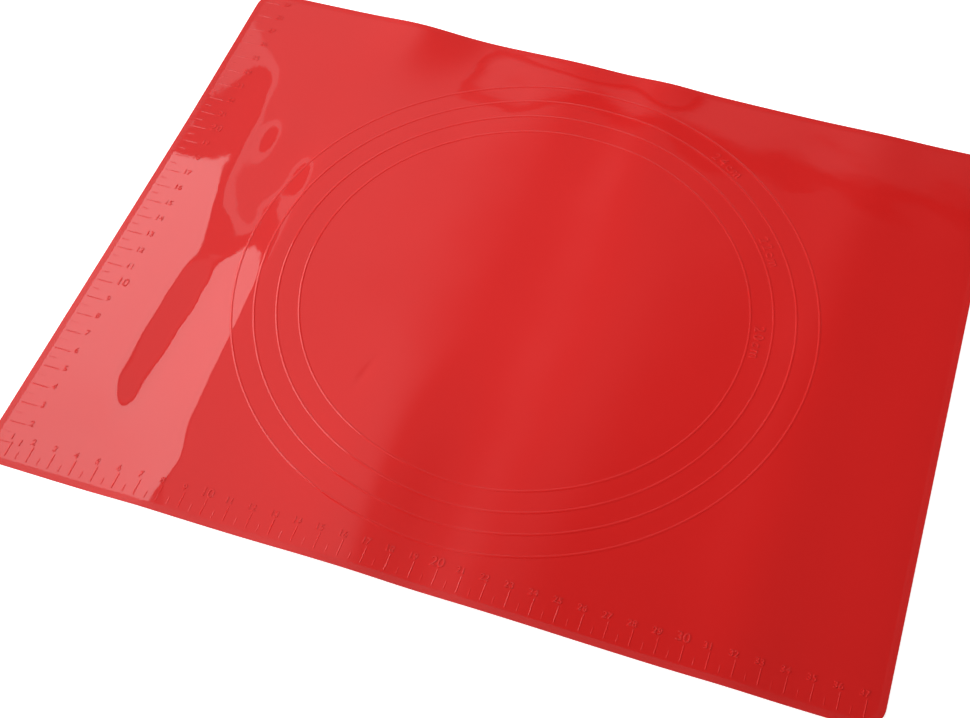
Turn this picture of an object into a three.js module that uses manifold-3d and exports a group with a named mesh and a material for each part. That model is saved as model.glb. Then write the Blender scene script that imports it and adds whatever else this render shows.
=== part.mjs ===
// Silicone baking mat: a thin sheet with a border rim, a corner ruler and rolling circles
// Millimetres, +Z up. The origin is the middle of the underside, +X runs along the front
// ruler and +Y from the front edge to the back edge.
import * as THREE from 'three';
import { mergeVertices } from 'three/addons/utils/BufferGeometryUtils.js';
import Module from 'manifold-3d';

const wasm = await Module();
wasm.setup();

// Sheet
const MAT_WIDTH = 378;
const MAT_DEPTH = 298;
const SHEET_THICKNESS = 0.8;
const CORNER_RADIUS = 10;
const CORNER_STEPS = 4;

// Border rim
const RIM_WIDTH = 4;
const RIM_HEIGHT = 0.3;

// Corner ruler, whose zero lies just inside the left and front edges
const RULER_ZERO_INSET = 0.6;
const RULER_PITCH = 10;
const RULER_SPINE_WIDTH = 0.5;
const RULER_LINE_HEIGHT = 0.3;
const TICK_WIDTH = 0.6;
const MAJOR_TICK_LENGTH = 7;
const MINOR_TICK_LENGTH = 3;

// Rolling circles, measured to the middle of their line. The largest keeps a margin from the mat's
// long edges, and the others are smaller by a step each. Their centre lies just off the mat's middle.
const RING_COUNT = 4;
const RING_EDGE_MARGIN = 19;
const RING_DIAMETER_STEP = 20;
const RING_LINE_WIDTH = 1.2;
const RING_LINE_HEIGHT = 0.3;
const RING_OFFSET_X = 1.6;
const RING_OFFSET_Y = 1.6;
const RING_SEGMENTS = 96;
const RING_PROFILE_STEPS = 4;

// Silicone colours and gloss
const GLOSSY_SILICONE = { color: 0xc4211f, roughness: 0.14, metalness: 0 };
const MATTE_SILICONE = { color: 0xcc3330, roughness: 0.55, metalness: 0 };

// Places worked out from the driving dimensions
const LEFT_EDGE = -MAT_WIDTH / 2;
const FRONT_EDGE = -MAT_DEPTH / 2;
const ZERO_X = LEFT_EDGE + RULER_ZERO_INSET;
const ZERO_Y = FRONT_EDGE + RULER_ZERO_INSET;
const FIELD_WIDTH = MAT_WIDTH - 2 * RIM_WIDTH;
const FIELD_DEPTH = MAT_DEPTH - 2 * RIM_WIDTH;
const FIELD_RADIUS = Math.max(CORNER_RADIUS - RIM_WIDTH, 0);
const FIELD_LEFT = LEFT_EDGE + RIM_WIDTH;
const FIELD_FRONT = FRONT_EDGE + RIM_WIDTH;
const SPINE_OVERHANG = RULER_LINE_HEIGHT;
const TICK_OVERHANG = 2 * RULER_LINE_HEIGHT;
const CUT_OVERHANG = 3 * RULER_LINE_HEIGHT;

function roundedRectangle(path, width, depth, radius) {
  const x = width / 2 - radius;
  const y = depth / 2 - radius;
  const corners = [[x, -y], [x, y], [-x, y], [-x, -y]];
  corners.forEach(([cornerX, cornerY], index) => {
    const start = (index - 1) * Math.PI / 2;
    if (radius > 0) {
      path.absarc(cornerX, cornerY, radius, start, start + Math.PI / 2);
    } else if (index === 0) {
      path.moveTo(cornerX, cornerY);
    } else {
      path.lineTo(cornerX, cornerY);
    }
  });
  path.closePath();
  return path;
}

function extrude(shape, height) {
  const settings = { depth: height, bevelEnabled: false, curveSegments: CORNER_STEPS };
  return new THREE.ExtrudeGeometry(shape, settings);
}

function addMesh(group, name, geometry, finish) {
  const mesh = new THREE.Mesh(geometry, new THREE.MeshStandardMaterial(finish));
  mesh.name = name;
  group.add(mesh);
  return mesh;
}

// Solids for joining: only positions are kept, with shared corners merged
function toSolid(geometry) {
  const bare = geometry.clone();
  bare.deleteAttribute('normal');
  bare.deleteAttribute('uv');
  const merged = mergeVertices(bare);
  const vertProperties = new Float32Array(merged.attributes.position.array);
  const triVerts = new Uint32Array(merged.index.array);
  return new wasm.Manifold(new wasm.Mesh({ numProp: 3, vertProperties, triVerts }));
}

function toGeometry(solid) {
  const { vertProperties, triVerts } = solid.getMesh();
  const geometry = new THREE.BufferGeometry();
  geometry.setAttribute('position', new THREE.BufferAttribute(vertProperties, 3));
  geometry.setIndex(new THREE.BufferAttribute(triVerts, 1));
  geometry.computeVertexNormals();
  return geometry;
}

// A piece of the ruler's lines that reaches past their height by an overhang above and below
function tall(shape, overhang) {
  const piece = extrude(shape, RULER_LINE_HEIGHT + 2 * overhang);
  return toSolid(piece.translate(0, 0, -overhang));
}

function rectangle(lowX, lowY, highX, highY) {
  const corners = [[lowX, lowY], [highX, lowY], [highX, highY], [lowX, highY]];
  return new THREE.Shape(corners.map(([x, y]) => new THREE.Vector2(x, y)));
}

// The outline of the field inside the rim, drawn in by an inset
function fieldOutline(path, inset) {
  const radius = Math.max(FIELD_RADIUS - inset, 0);
  return roundedRectangle(path, FIELD_WIDTH - 2 * inset, FIELD_DEPTH - 2 * inset, radius);
}

function sheetGeometry() {
  return extrude(roundedRectangle(new THREE.Shape(), MAT_WIDTH, MAT_DEPTH, CORNER_RADIUS), SHEET_THICKNESS);
}

function rimGeometry() {
  const outline = roundedRectangle(new THREE.Shape(), MAT_WIDTH, MAT_DEPTH, CORNER_RADIUS);
  outline.holes.push(fieldOutline(new THREE.Path(), 0));
  return extrude(outline, RIM_HEIGHT);
}

// Distances of the ticks from the ruler's zero, every half pitch from its first number to the far rim
function tickStations(edgeLength) {
  const spacing = RULER_PITCH / 2;
  const end = edgeLength - RULER_ZERO_INSET - RIM_WIDTH - RULER_SPINE_WIDTH - TICK_WIDTH / 2;
  const stations = [];
  for (let step = 2; step * spacing <= end; step += 1) {
    const length = step % 2 === 0 ? MAJOR_TICK_LENGTH : MINOR_TICK_LENGTH;
    stations.push({ distance: step * spacing, length });
  }
  return stations;
}

// The scale's spine hugs the rim's inner edge along the front and the left, round to the two far corners
function rulerSpine() {
  const band = fieldOutline(new THREE.Shape(), 0);
  band.holes.push(fieldOutline(new THREE.Path(), RULER_SPINE_WIDTH));
  const reach = FIELD_RADIUS + RULER_SPINE_WIDTH;
  const farSides = rectangle(FIELD_LEFT + reach, FIELD_FRONT + reach, MAT_WIDTH, MAT_DEPTH);
  return tall(band, SPINE_OVERHANG).subtract(tall(farSides, CUT_OVERHANG));
}

// One rectangle for each tick of the front and left rulers, from the rim's inner edge to its tip
function tickShapes() {
  const half = TICK_WIDTH / 2;
  const front = tickStations(MAT_WIDTH).map(({ distance, length }) => {
    const x = ZERO_X + distance;
    return rectangle(x - half, FIELD_FRONT, x + half, FIELD_FRONT + RULER_SPINE_WIDTH + length);
  });
  const left = tickStations(MAT_DEPTH).map(({ distance, length }) => {
    const y = ZERO_Y + distance;
    return rectangle(FIELD_LEFT, y - half, FIELD_LEFT + RULER_SPINE_WIDTH + length, y + half);
  });
  return [...front, ...left];
}

// Both rulers in one piece: each tick is rooted in the middle of the spine, and one slab trims them all
function rulerGeometry() {
  const rooted = tall(fieldOutline(new THREE.Shape(), RULER_SPINE_WIDTH / 2), CUT_OVERHANG);
  const slab = tall(rectangle(LEFT_EDGE, FRONT_EDGE, -LEFT_EDGE, -FRONT_EDGE), 0);
  let scale = rulerSpine();
  for (const shape of tickShapes()) {
    scale = scale.add(tall(shape, TICK_OVERHANG).intersect(rooted));
  }
  return toGeometry(scale.intersect(slab));
}

// A half-round bead revolved about the vertical axis through the ring's centre
function ringGeometry(diameter) {
  const profile = [];
  for (let step = 0; step <= RING_PROFILE_STEPS; step += 1) {
    const angle = step / RING_PROFILE_STEPS * Math.PI;
    const radius = diameter / 2 + RING_LINE_WIDTH / 2 * Math.cos(angle);
    profile.push(new THREE.Vector2(radius, RING_LINE_HEIGHT * Math.sin(angle)));
  }
  profile[RING_PROFILE_STEPS].y = 0;
  profile.push(profile[0].clone());
  const bead = new THREE.LatheGeometry(profile, RING_SEGMENTS);
  return bead.rotateX(Math.PI / 2);
}

const bakingMat = new THREE.Group();
addMesh(bakingMat, 'mat_sheet', sheetGeometry(), GLOSSY_SILICONE);
addMesh(bakingMat, 'border_rim', rimGeometry(), MATTE_SILICONE).position.z = SHEET_THICKNESS;
addMesh(bakingMat, 'corner_ruler', rulerGeometry(), GLOSSY_SILICONE).position.z = SHEET_THICKNESS;

const largestDiameter = Math.min(MAT_WIDTH, MAT_DEPTH) - 2 * RING_EDGE_MARGIN;
for (let number = 1; number <= RING_COUNT; number += 1) {
  const diameter = largestDiameter - (RING_COUNT - number) * RING_DIAMETER_STEP;
  const ring = addMesh(bakingMat, `rolling_ring_${number}`, ringGeometry(diameter), GLOSSY_SILICONE);
  ring.position.set(RING_OFFSET_X, RING_OFFSET_Y, SHEET_THICKNESS);
}

export default bakingMat;
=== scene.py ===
# Silicone baking mat, laid out on a pale floor after being rolled up
# Metres, in the part's own frame. Places on the mat are read off its own ruler, in millimetres.
import math

import bpy
import numpy as np
from mathutils import Matrix, Vector

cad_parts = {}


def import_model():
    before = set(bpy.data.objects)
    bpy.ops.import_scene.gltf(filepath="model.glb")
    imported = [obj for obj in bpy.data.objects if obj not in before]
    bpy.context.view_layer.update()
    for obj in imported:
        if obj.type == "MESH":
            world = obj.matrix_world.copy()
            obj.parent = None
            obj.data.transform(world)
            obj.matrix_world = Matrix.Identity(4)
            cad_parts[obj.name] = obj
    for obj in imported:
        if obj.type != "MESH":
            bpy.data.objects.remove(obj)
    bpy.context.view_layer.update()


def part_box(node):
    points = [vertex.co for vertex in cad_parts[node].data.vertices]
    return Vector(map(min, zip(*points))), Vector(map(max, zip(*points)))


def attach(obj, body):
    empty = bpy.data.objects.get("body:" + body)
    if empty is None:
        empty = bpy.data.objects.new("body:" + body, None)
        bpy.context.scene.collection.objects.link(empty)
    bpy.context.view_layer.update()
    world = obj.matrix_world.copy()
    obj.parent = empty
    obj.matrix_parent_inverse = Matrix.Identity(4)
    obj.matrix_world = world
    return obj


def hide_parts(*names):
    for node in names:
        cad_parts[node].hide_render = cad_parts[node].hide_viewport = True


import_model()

MM = 0.001

# The sheet, from the frame
SHEET_LOW, SHEET_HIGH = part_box("mat_sheet")
WIDTH = SHEET_HIGH.x - SHEET_LOW.x
DEPTH = SHEET_HIGH.y - SHEET_LOW.y
THICKNESS = SHEET_HIGH.z - SHEET_LOW.z
CORNER_RADIUS = 10 * MM
GRID_STEP = 2 * MM
FINE_STEP = 0.75 * MM
FINE_REACH = 146 * MM
EDGE_STEPS = (0, 0.05 * MM, 0.15 * MM, 0.3 * MM, 0.7 * MM)
UNDER_EDGE_ROUND = 0.3 * MM

# The ruler's zero lies just inside the front left corner
ZERO_INSET = 0.6 * MM
ZERO_X = SHEET_LOW.x + ZERO_INSET
ZERO_Y = SHEET_LOW.y + ZERO_INSET

# Border rim
RIM_WIDTH = 4 * MM
RIM_SHOW = 0.012 * MM
RIM_SINK = 0.008 * MM
RIM_FADE = 2.4 * MM
RIM_STEP = 2 * MM
RIM_ROUND_STEPS = 5
RIM_FLAT_SHARES = (0.3, 0.6, 1)
RIM_FADE_STEPS = 7
CORNER_STEPS = 13

# Moulded lines and lettering
RULER_LOW, RULER_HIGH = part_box("corner_ruler")
LINE_HEIGHT = RULER_HIGH.z - RULER_LOW.z
SINK = 0.06 * MM
MAJOR_RELIEF = 0.17 * LINE_HEIGHT
MINOR_RELIEF = 0.09 * LINE_HEIGHT
RING_RELIEF = 0.16 * LINE_HEIGHT
LETTER_RELIEF = 0.36 * LINE_HEIGHT
PITCH = 10 * MM
SPINE_WIDTH = 0.5 * MM
TICK_WIDTH = 0.6 * MM
MAJOR_TICK = 7 * MM
MINOR_TICK = 3 * MM
TICK_STEP = 0.7 * MM
TICK_TIP_STEPS = 5
TICK_TIP_LEAST = 0.08
RING_WIDTH = 1.2 * MM
RING_STATIONS = 480
BEAD_STEPS = 12

# Numerals: the small ones and the larger tens, with their distance from the tick's tip
DIGIT_HEIGHT = 2.9 * MM
TENS_HEIGHT = 4.3 * MM
LABEL_HEIGHT = 4.8 * MM
CAP_SHARE = 0.73
FRONT_NUMERAL_GAP = 1.0 * MM
FRONT_NUMERAL_SHIFT = -1.2 * MM
LEFT_NUMERAL_GAP = 1.6 * MM
LETTER_ROUND = 0.17 * MM
LETTER_THIN = 0.05 * MM
LETTER_CURVE_STEPS = 5
LETTER_ROUND_STEPS = 3
LABELS = (("20cm", 1, 4.7), ("22cm", 2, 31.5), ("24cm", 3, 57.5))
LABEL_GAP = 1.4 * MM
LABEL_LETTER_GAP = 1.0 * MM
LABEL_SPACING = 1.08


def ease(values, stations):
    """Smooth steps through listed (place, value) stations."""
    places, levels = zip(*stations)
    result = np.full(np.shape(values), float(levels[0]))
    for low, high, start, end in zip(places, places[1:], levels, levels[1:]):
        share = np.clip((values - low) / (high - low), 0, 1)
        result = result + (end - start) * share * share * (3 - 2 * share)
    return result


# Folds left by rolling, which run from front to back. Each has the line of its crest, the widths
# of its left and right flanks, and its lift along the mat, all in ruler millimetres.
FOLDS = (
    {"crest": ((0, 162), (60, 160), (150, 166), (297, 170)), "left": 26, "right": 19,
     "lift": ((0, 2.0), (45, 2.2), (140, 0.5), (205, 0.5), (270, 1.4), (286, 1.4), (330, 3.4))},
    {"crest": ((0, 222), (150, 232), (297, 218)), "left": 23, "right": 31,
     "lift": ((0, 1.3), (60, 1.4), (150, 1.3), (297, 1.0))},
    {"crest": ((0, 40), (297, 40)), "left": 200, "right": 40, "lift": ((200, 0), (330, 2.2))},
    {"crest": ((0, 74), (240, 75), (297, 88)), "left": 16, "right": 17, "lift": ((245, 0), (330, 3.0))},
    {"crest": ((0, 217), (297, 217)), "left": 11, "right": 11,
     "lift": ((170, 0), (280, 0.6), (320, 1.6))},
    {"crest": ((0, 320), (297, 322)), "left": 13, "right": 13,
     "lift": ((0, 0.6), (150, 0.6), (297, 0.5))},
    {"crest": ((0, 385), (297, 385)), "left": 24, "right": 30,
     "lift": ((0, 0.8), (140, 0.5), (297, 0.5))},
)

# Sharper creases at the left: a foot, a ridge, a furrow, a second ridge and the line where they run out
# flat. Each has its line, its height and the softness of its bend along the mat.
LEFT_EDGE_LIFT = ((0, 0.1), (45, 0.15), (70, 0.05), (188, 0.1), (226, 0.42), (250, 0.55), (297, 0.6))
CREASES = (
    {"line": ((0, 15), (297, 15)),
     "lift": ((0, 0.12), (18, 0.17), (50, 0.39), (70, 0.35), (100, 0.36), (125, 0.42), (178, 0.38),
              (212, 0.16), (232, 0.22), (262, 0.6), (297, 0.65)),
     "soft": ((0, 4.0), (297, 4.0))},
    {"line": ((0, 35), (36, 43), (60, 35), (125, 38), (190, 33), (240, 31)),
     "lift": ((0, 0.15), (18, 0.2), (50, 0.72), (100, 0.75), (125, 0.9), (160, 0.88), (200, 0.9),
              (235, 0.92), (262, 0.85), (297, 0.85)),
     "soft": ((0, 1.0), (190, 1.0), (250, 3.0))},
    {"line": ((0, 51), (36, 49), (62, 52), (112, 52.5), (130, 54), (148, 60), (162, 58), (183, 61.5),
              (297, 58)),
     "lift": ((0, 0.31), (18, 0.36), (35, 0.42), (53, 0.08), (70, 0.08), (100, 0.2), (113, 0.42),
              (130, 1.0), (148, 1.05), (160, 0.9), (183, 0.85), (200, 0.85), (240, 1.05), (297, 1.2)),
     "soft": ((0, 2.2), (190, 2.2), (240, 6.0))},
    {"line": ((0, 74), (25, 80), (45, 75.5), (70, 74.5), (150, 73.5), (190, 73.5), (240, 82)),
     "lift": ((0, 1.35), (25, 1.25), (45, 1.1), (70, 1.2), (100, 1.35), (133, 1.78), (185, 1.64),
              (297, 1.4)),
     "soft": ((0, 0.8), (145, 0.8), (190, 1.5), (240, 9.0))},
    {"line": ((0, 165), (60, 200), (297, 200)),
     "lift": ((0, 0), (297, 0)),
     "soft": ((0, 15), (297, 15))},
)

# Small bulges and dents: place, reach to the left, to the right and along, lift, and turn in degrees
DENTS = (
    {"place": (50, 205), "reach": (6, 18, 11), "lift": 0.42, "turn": 0},
    {"place": (73, 164), "reach": (6, 25, 9), "lift": -0.17, "turn": 0},
    {"place": (76, 136), "reach": (9, 25, 7), "lift": 0.1, "turn": 0},
    {"place": (148, 270), "reach": (8, 8, 14), "lift": -0.09, "turn": 0},
    {"place": (138, 89), "reach": (1.5, 1.5, 5.5), "lift": -0.15, "turn": -12},
)

# Faint unevenness of the moulding
RIPPLE_SEED = 7
RIPPLE_COUNT = 14
RIPPLE_LENGTHS = (22, 70)
RIPPLE_LIFT = 0.006


def ripples():
    """Plane waves of seeded direction, length and phase."""
    draw = np.random.default_rng(RIPPLE_SEED)
    angles = draw.uniform(0, math.pi, RIPPLE_COUNT)
    lengths = draw.uniform(*RIPPLE_LENGTHS, RIPPLE_COUNT)
    phases = draw.uniform(0, 2 * math.pi, RIPPLE_COUNT)
    return list(zip(angles, lengths, phases))


RIPPLES = ripples()


def creased(across, along):
    """Height of the creases: straight slopes between their lines, bent softly at each."""
    places = [0] + [ease(along, crease["line"]) for crease in CREASES]
    heights = [ease(along, LEFT_EDGE_LIFT)] + [ease(along, crease["lift"]) for crease in CREASES]
    slopes = []
    for number in range(len(CREASES)):
        rise = heights[number + 1] - heights[number]
        slopes.append(rise / (places[number + 1] - places[number]))
    slopes.append(0)
    height = heights[0] + slopes[0] * across
    for crease, place, before, after in zip(CREASES, places[1:], slopes, slopes[1:]):
        soft = ease(along, crease["soft"])
        height = height + (after - before) * soft * np.logaddexp(0, (across - place) / soft)
    return height


def lift(x, y):
    """Height of the mat's underside above the floor, in metres, at places in the part's frame."""
    across = (np.asarray(x, float) - ZERO_X) / MM
    along = (np.asarray(y, float) - ZERO_Y) / MM
    height = creased(across, along)
    for fold in FOLDS:
        offset = across - ease(along, fold["crest"])
        flank = np.where(offset < 0, offset / fold["left"], offset / fold["right"])
        height = height + ease(along, fold["lift"]) * np.exp(-0.5 * flank * flank)
    for dent in DENTS:
        turn = math.radians(dent["turn"])
        from_x = across - dent["place"][0]
        from_y = along - dent["place"][1]
        aside = from_x * math.cos(turn) + from_y * math.sin(turn)
        ahead = (from_y * math.cos(turn) - from_x * math.sin(turn)) / dent["reach"][2]
        aside = np.where(aside < 0, aside / dent["reach"][0], aside / dent["reach"][1])
        height = height + dent["lift"] * np.exp(-0.5 * (aside * aside + ahead * ahead))
    for angle, length, phase in RIPPLES:
        run = across * math.cos(angle) + along * math.sin(angle)
        height = height + RIPPLE_LIFT * (1 + np.sin(2 * math.pi * run / length + phase))
    return height * MM


def top(x, y):
    """Height of the mat's marked face."""
    return lift(x, y) + THICKNESS


def make_object(name, points, faces, material, smooth=True):
    mesh = bpy.data.meshes.new(name)
    mesh.from_pydata([tuple(p) for p in points], [], faces)
    mesh.validate()
    if smooth:
        mesh.shade_smooth()
    mesh.materials.append(material)
    made = bpy.data.objects.new(name, mesh)
    bpy.context.scene.collection.objects.link(made)
    return made


def stations_between(low, high, fine_reach):
    """Places along one side: closest at both edges, close over a first stretch, then even."""
    inner = EDGE_STEPS[-1]
    split = low + max(fine_reach, inner)
    fine = np.linspace(low + inner, split, round((split - low - inner) / FINE_STEP), endpoint=False)
    even = np.linspace(split, high - inner, round((high - inner - split) / GRID_STEP) + 1)
    start = [low + step for step in EDGE_STEPS[:-1]]
    end = [high - step for step in reversed(EDGE_STEPS[:-1])]
    return np.concatenate([start, fine, even, end])


def round_corners(x, y):
    """Moves the places in the sheet's square corners into round ones."""
    middle_x = (SHEET_LOW.x + SHEET_HIGH.x) / 2
    middle_y = (SHEET_LOW.y + SHEET_HIGH.y) / 2
    side_x = np.sign(x - middle_x)
    side_y = np.sign(y - middle_y)
    a = np.maximum(np.abs(x - middle_x) - (WIDTH / 2 - CORNER_RADIUS), 0)
    b = np.maximum(np.abs(y - middle_y) - (DEPTH / 2 - CORNER_RADIUS), 0)
    reach = np.hypot(a, b)
    share = np.where(reach > 0, np.maximum(a, b) / np.where(reach > 0, reach, 1), 1)
    inset = CORNER_RADIUS - np.maximum(a, b)
    return x - side_x * a * (1 - share), y - side_y * b * (1 - share), inset


def sheet(material):
    """The sheet as a closed wavy slab whose lower edge is rounded."""
    across = stations_between(SHEET_LOW.x, SHEET_HIGH.x, FINE_REACH)
    along = stations_between(SHEET_LOW.y, SHEET_HIGH.y, 0)
    grid_x, grid_y = np.meshgrid(across, along, indexing="ij")
    x, y, inset = round_corners(grid_x, grid_y)
    rise = lift(x, y)
    gap = UNDER_EDGE_ROUND - np.clip(inset, 0, UNDER_EDGE_ROUND)
    under = rise + UNDER_EDGE_ROUND - np.sqrt(UNDER_EDGE_ROUND ** 2 - gap ** 2)
    upper = rise + THICKNESS
    rows, columns = x.shape
    count = rows * columns
    points = np.concatenate([
        np.stack([x, y, upper], -1).reshape(-1, 3),
        np.stack([x, y, under], -1).reshape(-1, 3),
    ])
    index = np.arange(count).reshape(rows, columns)
    a, b, c, d = index[:-1, :-1], index[1:, :-1], index[1:, 1:], index[:-1, 1:]
    faces = np.stack([a, b, c, d], -1).reshape(-1, 4).tolist()
    faces += np.stack([d + count, c + count, b + count, a + count], -1).reshape(-1, 4).tolist()
    border = np.concatenate([index[:, 0], index[-1, 1:], index[-2::-1, -1], index[0, -2:0:-1]])
    after = np.roll(border, -1)
    faces += np.stack([border + count, after + count, after, border], -1).tolist()
    return make_object("mat_sheet_wavy", points, faces, material)


def outline(inset):
    """Places and outward directions along the mat's edge, drawn in by an inset, anticlockwise."""
    radius = CORNER_RADIUS
    half_x = WIDTH / 2 - radius
    half_y = DEPTH / 2 - radius
    middle = (SHEET_LOW + SHEET_HIGH) / 2
    corners = ((half_x, -half_y, -90), (half_x, half_y, 0),
               (-half_x, half_y, 90), (-half_x, -half_y, 180))
    places = []
    for number, (x, y, start) in enumerate(corners):
        turns = np.radians(np.linspace(start, start + 90, CORNER_STEPS))
        arc = [(x, y, math.cos(turn), math.sin(turn)) for turn in turns]
        places += arc
        next_x, next_y, _ = corners[(number + 1) % 4]
        run = math.hypot(next_x - x, next_y - y)
        steps = round(run / RIM_STEP)
        out = arc[-1][2:]
        for step in range(1, steps):
            share = step / steps
            places.append((x + (next_x - x) * share, y + (next_y - y) * share, *out))
    places = np.array(places)
    out = places[:, 2:]
    return places[:, :2] + np.array(middle[:2]) + out * (radius - inset), out


def ring_of_sections(sections):
    """Faces that join a closed loop of closed sections."""
    around, across = sections.shape[:2]
    index = np.arange(around * across).reshape(around, across)
    ahead = np.roll(index, -1, 0)
    corners = [index, ahead, np.roll(ahead, -1, 1), np.roll(index, -1, 1)]
    return np.stack(corners, -1).reshape(-1, 4).tolist()


def rim(material):
    """The matte band round the edge, whose inner side runs out gently into the sheet."""
    turns = np.radians(np.linspace(0, 90, RIM_ROUND_STEPS))
    outer = [(RIM_SHOW * (1 - math.cos(t)), RIM_SHOW * math.sin(t)) for t in turns]
    flat = [((RIM_WIDTH - RIM_FADE) * share, RIM_SHOW) for share in RIM_FLAT_SHARES]
    shares = np.linspace(0, 1, RIM_FADE_STEPS)[1:]
    falls = (RIM_SHOW + RIM_SINK) * (1 - shares * shares * (3 - 2 * shares)) - RIM_SINK
    inner = list(zip(RIM_WIDTH - RIM_FADE * (1 - shares), falls))
    profile = [(0, -SINK)] + outer + flat + inner + [(RIM_WIDTH, -SINK)]
    sections = []
    edge, out = outline(0)
    for inset, height in profile:
        place = edge - out * inset
        z = top(place[:, 0], place[:, 1]) + height
        sections.append(np.concatenate([place, z[:, None]], 1))
    sections = np.stack(sections, 1)
    return make_object("border_rim_band", sections.reshape(-1, 3), ring_of_sections(sections), material)


def bead_profile(width, height):
    """A soft bead: places across it and heights, from its left root over the crown to its right."""
    places = np.linspace(-1, 1, BEAD_STEPS + 1)
    profile = [(width / 2 * t, height * (1 + math.cos(math.pi * t)) / 2) for t in places]
    return [(-width / 2, -SINK)] + profile + [(width / 2, -SINK)]


class Build:
    """Collects the points and faces of one piece."""

    def __init__(self):
        self.points = []
        self.faces = []

    def add(self, points, faces):
        start = len(self.points)
        self.points += [tuple(p) for p in points]
        self.faces += [[start + i for i in face] for face in faces]

    def bar(self, start, end, width, height):
        """A straight bead with round ends, laid on the wavy face."""
        start, end = np.array(start), np.array(end)
        length = np.linalg.norm(end - start)
        run = (end - start) / length
        side = np.array([-run[1], run[0]])
        tip = width / 2
        near = tip * (1 - np.cos(np.radians(np.linspace(0, 90, TICK_TIP_STEPS))))
        middle = np.linspace(tip, length - tip, max(2, round(length / TICK_STEP)))
        distances = np.concatenate([near[:-1], middle, length - near[-2::-1]])
        profile = bead_profile(width, height)
        rows = []
        for distance in distances:
            left = min(distance, length - distance)
            full = 1 if left >= tip else math.sqrt(max(tip ** 2 - (tip - left) ** 2, 0)) / tip
            full = max(full, TICK_TIP_LEAST)
            place = np.array([start + run * distance + side * across * full for across, _ in profile])
            rise = np.array([h * full if h > 0 else h for _, h in profile])
            z = top(place[:, 0], place[:, 1]) + rise
            rows.append(np.concatenate([place, z[:, None]], 1))
        rows = np.array(rows)
        count, across = rows.shape[:2]
        index = np.arange(count * across).reshape(count, across)
        turn = np.roll(index, -1, 1)
        faces = np.stack([index[:-1], turn[:-1], turn[1:], index[1:]], -1).reshape(-1, 4).tolist()
        faces.append(index[0, ::-1].tolist())
        faces.append(index[-1].tolist())
        self.add(rows.reshape(-1, 3), faces)

    def letters(self, text, height, place, turn=0.0, align="LEFT"):
        """Raised lettering of a cap height, its baseline starting or centred at a place."""
        points, faces = lettering(text, height / CAP_SHARE, align)
        if not len(points):
            return
        cos, sin = math.cos(turn), math.sin(turn)
        x = place[0] + points[:, 0] * cos - points[:, 1] * sin
        y = place[1] + points[:, 0] * sin + points[:, 1] * cos
        z = top(x, y) + points[:, 2]
        self.add(np.stack([x, y, z], 1), faces)

    def piece(self, name, material):
        return make_object(name, self.points, self.faces, material)


def lettering(text, size, align):
    """Points and faces of low rounded lettering, half of it below its flat face."""
    curve = bpy.data.curves.new("lettering", "FONT")
    curve.body = text
    curve.size = size
    curve.align_x = align
    curve.resolution_u = LETTER_CURVE_STEPS
    curve.offset = -LETTER_THIN
    curve.bevel_depth = LETTER_ROUND
    curve.bevel_resolution = LETTER_ROUND_STEPS
    holder = bpy.data.objects.new("lettering", curve)
    bpy.context.scene.collection.objects.link(holder)
    bpy.context.view_layer.update()
    mesh = holder.evaluated_get(bpy.context.evaluated_depsgraph_get()).to_mesh()
    points = np.zeros(len(mesh.vertices) * 3)
    mesh.vertices.foreach_get("co", points)
    points = points.reshape(-1, 3)
    faces = [list(p.vertices) for p in mesh.polygons]
    holder.to_mesh_clear()
    bpy.data.objects.remove(holder)
    bpy.data.curves.remove(curve)
    points[:, 2] *= LETTER_RELIEF / LETTER_ROUND
    return points, faces


def tick_stations(edge_length):
    """Numbered distances from the ruler's zero, every half pitch, as the frame's ruler has them."""
    end = edge_length - ZERO_INSET - RIM_WIDTH - SPINE_WIDTH - TICK_WIDTH / 2
    return [(step * PITCH / 2, step) for step in range(2, int(end / (PITCH / 2)) + 1)]


def tick_size(step):
    """Length and relief of a tick: long at whole centimetres, short and fainter between."""
    if step % 2 == 0:
        return SPINE_WIDTH + MAJOR_TICK, MAJOR_RELIEF
    return SPINE_WIDTH + MINOR_TICK, MINOR_RELIEF


def ruler(material):
    """The front and the left scale: a soft bead for each tick."""
    build = Build()
    root_x = SHEET_LOW.x + RIM_WIDTH
    root_y = SHEET_LOW.y + RIM_WIDTH
    for distance, step in tick_stations(WIDTH):
        x = ZERO_X + distance
        length, relief = tick_size(step)
        build.bar((x, root_y), (x, root_y + length), TICK_WIDTH, relief)
    for distance, step in tick_stations(DEPTH):
        y = ZERO_Y + distance
        length, relief = tick_size(step)
        build.bar((root_x, y), (root_x + length, y), TICK_WIDTH, relief)
    return build.piece("ruler_scale", material)


def numerals(material):
    """Centimetre numbers above the front ticks and beside the left ones."""
    build = Build()
    tip_x = SHEET_LOW.x + RIM_WIDTH + SPINE_WIDTH + MAJOR_TICK
    tip_y = SHEET_LOW.y + RIM_WIDTH + SPINE_WIDTH + MAJOR_TICK
    for distance, step in tick_stations(WIDTH):
        number = step // 2
        if step % 2 == 0:
            height = TENS_HEIGHT if number % 10 == 0 else DIGIT_HEIGHT
            place = (ZERO_X + distance + FRONT_NUMERAL_SHIFT, tip_y + FRONT_NUMERAL_GAP)
            build.letters(str(number), height, place, align="CENTER")
    for distance, step in tick_stations(DEPTH):
        number = step // 2
        if step % 2 == 0:
            height = TENS_HEIGHT if number % 10 == 0 else DIGIT_HEIGHT
            build.letters(str(number), height, (tip_x + LEFT_NUMERAL_GAP, ZERO_Y + distance))
    return build.piece("ruler_numerals", material)


def ring_place(number):
    """Centre and middle radius of a rolling circle, from the frame."""
    low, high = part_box(f"rolling_ring_{number}")
    return (low + high) / 2, (high.x - low.x - RING_WIDTH) / 2


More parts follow.
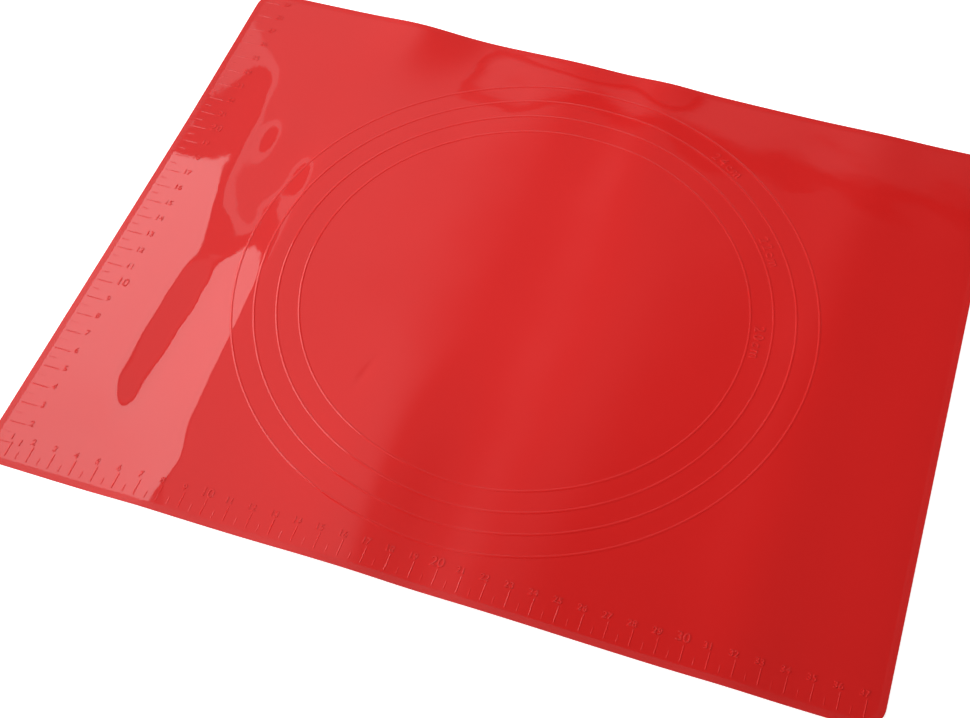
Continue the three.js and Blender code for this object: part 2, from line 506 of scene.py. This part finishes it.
def ring(number, material):
    """One rolling circle: a soft bead that follows the waves."""
    centre, radius = ring_place(number)
    turns = np.linspace(0, 2 * math.pi, RING_STATIONS, endpoint=False)
    sections = []
    for across, height in reversed(bead_profile(RING_WIDTH, RING_RELIEF)):
        x = centre.x + (radius + across) * np.cos(turns)
        y = centre.y + (radius + across) * np.sin(turns)
        sections.append(np.stack([x, y, top(x, y) + height], 1))
    sections = np.stack(sections, 1)
    name = f"rolling_ring_line_{number}"
    return make_object(name, sections.reshape(-1, 3), ring_of_sections(sections), material)


def ring_labels(material):
    """Diameters moulded just outside their circles, read clockwise with their tops outward."""
    build = Build()
    for text, number, middle in LABELS:
        centre, radius = ring_place(number)
        base = radius + RING_WIDTH / 2 + LABEL_GAP
        advances = [letter_advance(letter) for letter in text]
        run = -sum(advances) / 2
        for letter, advance in zip(text, advances):
            turn = math.radians(middle) - (run + advance / 2) / (base + LABEL_HEIGHT / 2)
            place = (centre.x + base * math.cos(turn), centre.y + base * math.sin(turn))
            build.letters(letter, LABEL_HEIGHT, place, turn - math.pi / 2, align="CENTER")
            run += advance
    return build.piece("ring_labels", material)


def letter_advance(letter):
    """Room that a letter of the labels takes along its circle."""
    points, _ = lettering(letter, LABEL_HEIGHT / CAP_SHARE, "LEFT")
    return (points[:, 0].max() - points[:, 0].min() + LABEL_LETTER_GAP) * LABEL_SPACING


def nodes_of(name):
    """A new material with its node tree, Principled shader and a maker of linked nodes."""
    material = bpy.data.materials.new(name)
    material.use_nodes = True
    tree = material.node_tree
    shader = tree.nodes["Principled BSDF"]

    def add(kind, inputs=None, **settings):
        node = tree.nodes.new(kind)
        for key, value in settings.items():
            setattr(node, key, value)
        for key, value in (inputs or {}).items():
            if isinstance(value, bpy.types.NodeSocket):
                tree.links.new(value, node.inputs[key])
            else:
                node.inputs[key].default_value = value
        return node

    return material, tree, shader, add


RED = (0.77, 0.0158, 0.0137, 1)
DEEP_RED = (0.74, 0.0150, 0.0130, 1)
RIM_RED = (0.76, 0.0175, 0.0150, 1)
RIM_DEEP_RED = (0.72, 0.0155, 0.0135, 1)
DUST = (0.85, 0.45, 0.42, 1)
SILICONE_IOR = 1.41
GLOSS_CLOUD_SCALE = 14.0
DUST_SCALE = 34.0
DUST_SIZE = 0.010
SMEAR_SCALE = 45.0
GLOSS_ROUGHNESS = (0.018, 0.034)
PEEL_SCALE = 170.0
PEEL_STRENGTH = 0.03
PEEL_DEPTH = 0.0003
MATTE_CLOUD_SCALE = 60.0
GRAIN_SCALE = 2200.0
MATTE_ROUGHNESS = (0.24, 0.28)
GRAIN_STRENGTH = 0.03
GRAIN_DEPTH = 0.0001
MATTE_SPECULAR = 0.3


def glossy_silicone():
    """Smooth moulded face: deep red and very glossy, with faint smears, dust and unevenness."""
    material, tree, shader, add = nodes_of("glossy_red_silicone")
    place = add("ShaderNodeTexCoord").outputs["Object"]
    cloud = add("ShaderNodeTexNoise", {"Vector": place, "Scale": GLOSS_CLOUD_SCALE, "Detail": 3.0})
    tint = add("ShaderNodeMix", {"Factor": cloud.outputs["Fac"]}, data_type="RGBA")
    tint.inputs["A"].default_value = DEEP_RED
    tint.inputs["B"].default_value = RED
    grains = add("ShaderNodeTexVoronoi", {"Vector": place, "Scale": DUST_SCALE, "Randomness": 1.0})
    speck = add("ShaderNodeMath", {0: grains.outputs["Distance"], 1: DUST_SIZE}, operation="LESS_THAN")
    dusted = add("ShaderNodeMix", {"Factor": speck.outputs[0]}, data_type="RGBA")
    tree.links.new(tint.outputs["Result"], dusted.inputs["A"])
    dusted.inputs["B"].default_value = DUST
    tree.links.new(dusted.outputs["Result"], shader.inputs["Base Color"])
    smear = add("ShaderNodeTexNoise", {"Vector": place, "Scale": SMEAR_SCALE, "Detail": 4.0})
    polish = add("ShaderNodeMapRange", {"Value": smear.outputs["Fac"],
                                        "To Min": GLOSS_ROUGHNESS[0], "To Max": GLOSS_ROUGHNESS[1]})
    tree.links.new(polish.outputs["Result"], shader.inputs["Roughness"])
    peel = add("ShaderNodeTexNoise", {"Vector": place, "Scale": PEEL_SCALE, "Detail": 2.0})
    bump = add("ShaderNodeBump", {"Height": peel.outputs["Fac"],
                                  "Strength": PEEL_STRENGTH, "Distance": PEEL_DEPTH})
    tree.links.new(bump.outputs["Normal"], shader.inputs["Normal"])
    shader.inputs["IOR"].default_value = SILICONE_IOR
    return material


def matte_silicone():
    """Satin rim and lettering: the same red, finely grained, scattering the light."""
    material, tree, shader, add = nodes_of("matte_red_silicone")
    place = add("ShaderNodeTexCoord").outputs["Object"]
    cloud = add("ShaderNodeTexNoise", {"Vector": place, "Scale": MATTE_CLOUD_SCALE, "Detail": 4.0})
    tint = add("ShaderNodeMix", {"Factor": cloud.outputs["Fac"]}, data_type="RGBA")
    tint.inputs["A"].default_value = RIM_DEEP_RED
    tint.inputs["B"].default_value = RIM_RED
    tree.links.new(tint.outputs["Result"], shader.inputs["Base Color"])
    grain = add("ShaderNodeTexNoise", {"Vector": place, "Scale": GRAIN_SCALE, "Detail": 3.0})
    polish = add("ShaderNodeMapRange", {"Value": grain.outputs["Fac"],
                                        "To Min": MATTE_ROUGHNESS[0], "To Max": MATTE_ROUGHNESS[1]})
    tree.links.new(polish.outputs["Result"], shader.inputs["Roughness"])
    bump = add("ShaderNodeBump", {"Height": grain.outputs["Fac"],
                                  "Strength": GRAIN_STRENGTH, "Distance": GRAIN_DEPTH})
    tree.links.new(bump.outputs["Normal"], shader.inputs["Normal"])
    shader.inputs["Specular IOR Level"].default_value = MATTE_SPECULAR
    shader.inputs["IOR"].default_value = SILICONE_IOR
    return material


# Floor
FLOOR_HALF = 30.0
FLOOR_DROP = 0.05 * MM
FLOOR_WHITE = 0.82
FLOOR_GLOW = 0.85
FLOOR_ROUGHNESS = 0.9


def floor_material():
    """Pale floor that keeps the mat's shadow and is lifted to white where it is seen."""
    material, tree, shader, add = nodes_of("pale_floor")
    path = add("ShaderNodeLightPath")
    seen = add("ShaderNodeMath", {0: path.outputs["Is Camera Ray"], 1: path.outputs["Is Glossy Ray"]},
               operation="MAXIMUM")
    shown = add("ShaderNodeMath", {0: seen.outputs[0], 1: path.outputs["Is Transmission Ray"]},
                operation="MAXIMUM")
    glow = add("ShaderNodeMath", {0: shown.outputs[0], 1: FLOOR_GLOW}, operation="MULTIPLY")
    shader.inputs["Base Color"].default_value = (FLOOR_WHITE, FLOOR_WHITE, FLOOR_WHITE, 1)
    shader.inputs["Roughness"].default_value = FLOOR_ROUGHNESS
    shader.inputs["Specular IOR Level"].default_value = 0.0
    shader.inputs["Emission Color"].default_value = (1, 1, 1, 1)
    tree.links.new(glow.outputs[0], shader.inputs["Emission Strength"])
    return material


def floor():
    half = FLOOR_HALF
    corners = [(-half, -half), (half, -half), (half, half), (-half, half)]
    points = [(x, y, SHEET_LOW.z - FLOOR_DROP) for x, y in corners]
    made = make_object("floor", points, [[0, 1, 2, 3]], floor_material(), smooth=False)
    return made


def bearing(azimuth, elevation):
    """Direction to the left of straight back and above the floor, in degrees."""
    a, e = math.radians(azimuth), math.radians(elevation)
    return Vector((-math.sin(a) * math.cos(e), math.cos(a) * math.cos(e), math.sin(e)))


def panel(name, centre, target, up, size, radiance):
    """A rectangular lamp that faces a target, its upper side turned to an up direction."""
    lamp = bpy.data.lights.new(name, "AREA")
    lamp.shape = "RECTANGLE"
    lamp.size, lamp.size_y = size
    lamp.energy = radiance * math.pi * size[0] * size[1]
    made = bpy.data.objects.new(name, lamp)
    bpy.context.scene.collection.objects.link(made)
    away = (centre - target).normalized()
    side = up.cross(away).normalized()
    rise = away.cross(side)
    made.matrix_world = Matrix.Translation(centre) @ Matrix((side, rise, away)).transposed().to_4x4()
    made.visible_camera = False
    return made


def mirrored_board(name, points, faces, glow):
    """Boards that only the gloss mirrors."""
    material, _, shader, _ = nodes_of(name)
    shader.inputs["Base Color"].default_value = (0, 0, 0, 1)
    shader.inputs["Roughness"].default_value = 1.0
    shader.inputs["Specular IOR Level"].default_value = 0.0
    shader.inputs["Emission Color"].default_value = (1, 1, 1, 1)
    shader.inputs["Emission Strength"].default_value = glow
    made = make_object(name, points, faces, material, smooth=False)
    made.visible_camera = False
    made.visible_diffuse = False
    made.visible_shadow = False


# Lamps. Sizes and distances are in metres, bearings in degrees, places on the mat in ruler millimetres.
SOFTBOX_SIZE = (0.4, 0.66)
SOFTBOX_DISTANCE = 1.5
SOFTBOX_RADIANCE = 3.4
SOFTBOX_SEEN_FROM = (30, 100)
SOFTBOX_FACING = (57, 57)
SOFTBOX_LOW_CORNER = (34.05, 42.7)
SOFTBOX_HIGH_CORNER = (42.3, 59)
KEY_SIZE = (1.6, 0.45)
KEY_DISTANCE = 2.5
KEY_BEARING = (115, 8)
KEY_RADIANCE = 29.0
TOP_SIZE = (0.4, 0.4)
TOP_LAMPS = (("front_lamp", (40, 0, 350), 0.83), ("back_lamp", (175, 290, 430), 1.98))

# The softbox's dim rim and the pale lip outside it, as stretches to the right of its lower right corner
# and below it, in metres
RIM_GLOW = 0.7
RIM_PARTS = (((-0.4, 0.05), (0.0, 0.08)), ((0.0, 0.05), (-0.19, 0.0)), ((0.0, 0.016), (-0.66, -0.19)))
LIP_RADIANCE = 0.75
LIP_PARTS = (((0.05, 0.075), (-0.17, 0.11)), ((-0.4, 0.05), (0.08, 0.11)))

# Pale cards at the back and at the left, by bearing in degrees. From the camera's side it is mostly the
# edges of the marks that mirror them.
CARD_GLOW = 1.3
CARD_DISTANCE = 3.0
CARDS = (((-10, 25), (8, 28)), ((25, 64), (8, 28)), ((66, 90), (8, 62)), ((90, 115), (8, 62)))


def lights():
    """A softbox at the back left that the gloss mirrors, a low lamp from the left and two above."""
    eye = Vector((ZERO_X + SOFTBOX_SEEN_FROM[0] * MM, ZERO_Y + SOFTBOX_SEEN_FROM[1] * MM, 0))
    facing = bearing(*SOFTBOX_FACING)

    def on_plane(azimuth, elevation):
        ray = bearing(azimuth, elevation)
        return eye + ray * (SOFTBOX_DISTANCE / ray.dot(facing))

    corner = on_plane(*SOFTBOX_LOW_CORNER)
    rise = (on_plane(*SOFTBOX_HIGH_CORNER) - corner).normalized()
    right = facing.cross(rise).normalized()

    def place(across, below):
        return corner + right * across - rise * below

    def flat_lamp(name, rights, belows, radiance):
        centre = place(sum(rights) / 2, sum(belows) / 2)
        size = (rights[1] - rights[0], belows[1] - belows[0])
        return panel(name, centre, centre - facing, rise, size, radiance)

    flat_lamp("softbox", (-SOFTBOX_SIZE[0], 0), (-SOFTBOX_SIZE[1], 0), SOFTBOX_RADIANCE)
    for number, (rights, belows) in enumerate(LIP_PARTS):
        flat_lamp(f"softbox_lip_{number}", rights, belows, LIP_RADIANCE)
    points = []
    faces = []
    for rights, belows in RIM_PARTS:
        faces.append([len(points) + i for i in range(4)])
        points += [place(rights[i], belows[j]) for i, j in ((0, 1), (1, 1), (1, 0), (0, 0))]
    mirrored_board("softbox_rim", points, faces, RIM_GLOW)
    points = []
    faces = []
    for azimuths, elevations in CARDS:
        faces.append([len(points) + i for i in range(4)])
        for i, j in ((0, 0), (1, 0), (1, 1), (0, 1)):
            points.append(bearing(azimuths[i], elevations[j]) * CARD_DISTANCE)
    mirrored_board("cards", points, faces, CARD_GLOW)
    key = bearing(*KEY_BEARING) * KEY_DISTANCE
    left = panel("left_lamp", key, Vector((0, 0, 0)), Vector((0, 0, 1)), KEY_SIZE, KEY_RADIANCE)
    left.visible_glossy = False
    for name, spot, radiance in TOP_LAMPS:
        over = Vector((ZERO_X, ZERO_Y, 0)) + Vector(spot) * MM
        above = panel(name, over, over - Vector((0, 0, 1)), Vector((0, 1, 0)), TOP_SIZE, radiance)
        above.visible_glossy = False


# The room by bearing, in degrees: a wide glow at the back left, darker to the right and at a ledge
DIM = 0.14
FAR_GLOW = 0.26
FAR_FADE = (-4, 10)
NEAR_GLOW = 0.70
NEAR_FADE = (15, 27)
FAR_LEAN = 0.8
NEAR_LEAN = 0.6
LEAN_LEVEL = 50
LEFT_END = (44, 58)
LEFT_DIM = 0.1
RIGHT_END = (-35, -18)
RIGHT_DIM = 0.4
LOW_END = (28, 36)
LOW_DIM = 0.1
HIGH_END = (68, 76)
HIGH_DIM = 0.2
LEDGE_AT_BACK = 47.4
LEDGE_FALL = 0.09
LEDGE_END = (21.2, 22.4)
LEDGE_EDGE = (-0.12, 0.12)
LEDGE_DARK = 0.45
LEDGE_RISE = (0.5, 1.3)
LEDGE_RETURN_FADE = (11, 20)
LEDGE_RETURN_RIGHT = 1.2
LEDGE_RETURN_LEFT = 0.62
LOW_WHITE = (4, 9)


def world():
    """A dim room: a soft glow at the back left that fades to the right, and a dark band at a ledge."""
    made = bpy.data.worlds.new("room")
    bpy.context.scene.world = made
    made.use_nodes = True
    tree = made.node_tree
    background = tree.nodes["Background"]

    def add(kind, *values, **settings):
        node = tree.nodes.new(kind)
        for key, value in settings.items():
            setattr(node, key, value)
        for number, value in enumerate(values):
            if isinstance(value, bpy.types.NodeSocket):
                tree.links.new(value, node.inputs[number])
            else:
                node.inputs[number].default_value = value
        return node.outputs[0]

    def math_of(operation, *values):
        return add("ShaderNodeMath", *values, operation=operation)

    def fade(value, start, end, low=0.0, high=1.0):
        return add("ShaderNodeMapRange", value, start, end, low, high, interpolation_type="SMOOTHSTEP")

    ray = tree.nodes.new("ShaderNodeTexCoord").outputs["Generated"]
    parts = tree.nodes.new("ShaderNodeSeparateXYZ")
    tree.links.new(ray, parts.inputs[0])
    x, y, z = parts.outputs
    elevation = math_of("DEGREES", math_of("ARCSINE", z))
    azimuth = math_of("DEGREES", math_of("ARCTAN2", math_of("MULTIPLY", x, -1.0), y))
    above = math_of("SUBTRACT", elevation, LEAN_LEVEL)
    far = math_of("MULTIPLY_ADD", above, -FAR_LEAN, azimuth)
    near = math_of("MULTIPLY_ADD", above, -NEAR_LEAN, azimuth)
    full = math_of("ADD", fade(far, *FAR_FADE, DIM, DIM + FAR_GLOW),
                   fade(near, *NEAR_FADE, 0, NEAR_GLOW))
    sides = math_of("MULTIPLY", fade(azimuth, *LEFT_END, 1, LEFT_DIM),
                    fade(azimuth, *RIGHT_END, RIGHT_DIM, 1))
    ends = math_of("MULTIPLY", fade(elevation, *LOW_END, LOW_DIM, 1),
                   fade(elevation, *HIGH_END, 1, HIGH_DIM))
    glow = math_of("MULTIPLY", full, math_of("MULTIPLY", sides, ends))
    behind = math_of("MAXIMUM", azimuth, 0.0)
    ledge = math_of("MULTIPLY_ADD", behind, -LEDGE_FALL, LEDGE_AT_BACK)
    depth = math_of("SUBTRACT", ledge, elevation)
    under = fade(azimuth, *LEDGE_RETURN_FADE, LEDGE_RETURN_RIGHT, LEDGE_RETURN_LEFT)
    shade = math_of("ADD", fade(depth, *LEDGE_EDGE, 0, LEDGE_DARK - 1),
                    fade(depth, *LEDGE_RISE, 0, under))
    shaded = math_of("MULTIPLY_ADD", shade, fade(azimuth, *LEDGE_END, 1, 0), 1.0)
    room = math_of("MULTIPLY", glow, shaded)
    white = math_of("MAXIMUM", fade(elevation, *LOW_WHITE, 1, 0),
                    tree.nodes.new("ShaderNodeLightPath").outputs["Is Camera Ray"])
    strength = math_of("MAXIMUM", room, white)
    background.inputs["Color"].default_value = (1, 1, 1, 1)
    tree.links.new(strength, background.inputs["Strength"])


CAMERA_PLACE = Vector((130.7, -393.95, 542.8)) * MM
CAMERA_TARGET = Vector((-4.2, -35.1, 0.8)) * MM
CAMERA_ROLL = -1.875
CAMERA_LENS = 56.95
SENSOR_WIDTH = 36
CLIP_START = 0.01
CLIP_END = 200


def camera():
    lens = bpy.data.cameras.new("camera")
    lens.sensor_width = SENSOR_WIDTH
    lens.lens = CAMERA_LENS
    lens.clip_start = CLIP_START
    lens.clip_end = CLIP_END
    made = bpy.data.objects.new("camera", lens)
    bpy.context.scene.collection.objects.link(made)
    aim = (CAMERA_TARGET - CAMERA_PLACE).to_track_quat("-Z", "Y").to_matrix().to_4x4()
    roll = Matrix.Rotation(math.radians(CAMERA_ROLL), 4, "Z")
    made.matrix_world = Matrix.Translation(CAMERA_PLACE) @ aim @ roll
    bpy.context.scene.camera = made


def main():
    scene = bpy.context.scene
    scene.view_settings.view_transform = "Standard"
    camera()
    glossy = glossy_silicone()
    matte = matte_silicone()
    mat = sheet(glossy)
    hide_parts("mat_sheet")
    band = rim(matte)
    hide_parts("border_rim")
    scale = ruler(glossy)
    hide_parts("corner_ruler")
    numbers = numerals(matte)
    labels = ring_labels(matte)
    rings = []
    for number in (1, 2, 3, 4):
        line = ring(number, glossy)
        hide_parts(f"rolling_ring_{number}")
        rings.append(line)
    for piece in (mat, scale, *rings):
        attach(piece, "root")
    for piece in (band, numbers, labels):
        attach(piece, "root")
    ground = floor()
    lights()
    world()


main()
